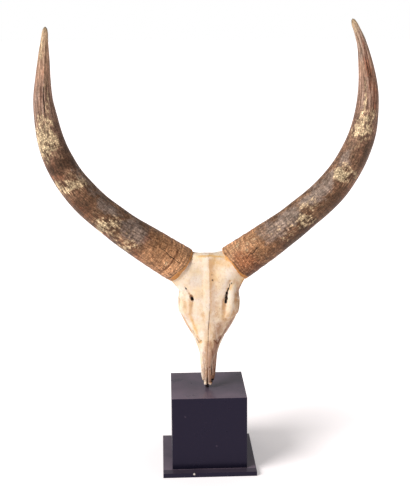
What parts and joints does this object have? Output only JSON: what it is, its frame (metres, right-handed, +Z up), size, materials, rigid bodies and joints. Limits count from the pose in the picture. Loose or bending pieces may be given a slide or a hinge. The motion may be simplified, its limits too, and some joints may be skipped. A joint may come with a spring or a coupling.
{
  "type": "mounted long-horned cattle skull",
  "caption": "Life-size skull of a long-horned cow with wide upswept horns, held nose down on a short rod over a black block and square plate.",
  "frame": {"origin": "middle of the plate's underside, on the surface that the mount stands on", "axes": "+Z up, -Y the way the face looks, +X towards the animal's own left horn"},
  "size_m": [1.1535, 0.325, 1.5451],
  "materials": {
    "bone": "dry aged bone, matt, cream with tan stains",
    "horn": "weathered horn, brown with pale flaking bands, dull satin",
    "black_paint": "satin black paint on board",
    "dark_steel": "blackened steel rod"
  },
  "bodies": {
    "root": {"cranium": "bone", "nasal_left": "bone", "nasal_right": "bone", "premaxilla_left": "bone", "premaxilla_right": "bone", "horn_left": "horn", "horn_right": "horn", "mount_rod": "dark_steel", "mount_block": "black_paint", "mount_plate": "black_paint"}
  },
  "joints": []
}
